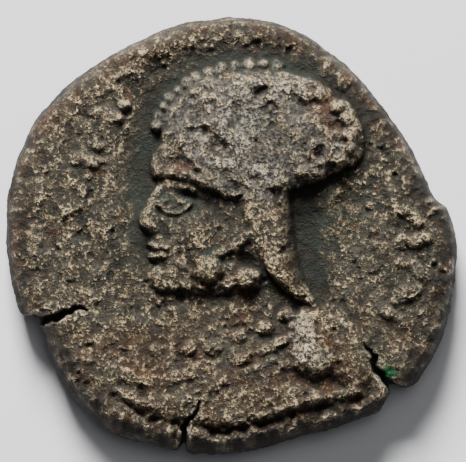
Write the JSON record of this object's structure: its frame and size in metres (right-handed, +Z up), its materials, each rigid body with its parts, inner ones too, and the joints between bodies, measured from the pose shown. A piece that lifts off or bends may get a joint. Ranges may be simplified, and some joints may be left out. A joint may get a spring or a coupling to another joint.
{
  "type": "hammered bronze coin",
  "caption": "Thick irregular hand-struck bronze coin with a helmeted bust in relief between worn strokes, split edges, and rows of dashes on the flatter reverse it lies on.",
  "frame": {"origin": "centre of the bounding box in plan, at the level of the surface the coin lies on", "axes": "+Z up out of the obverse, +X to the right and +Y towards the crown of the helmet as the obverse is looked at"},
  "size_m": [0.016, 0.0156, 0.0031],
  "materials": {
    "bronze": "dark brown and green patina, dry, with paler rubbed high points"
  },
  "bodies": {
    "root": {"drachm": "bronze"}
  },
  "joints": []
}
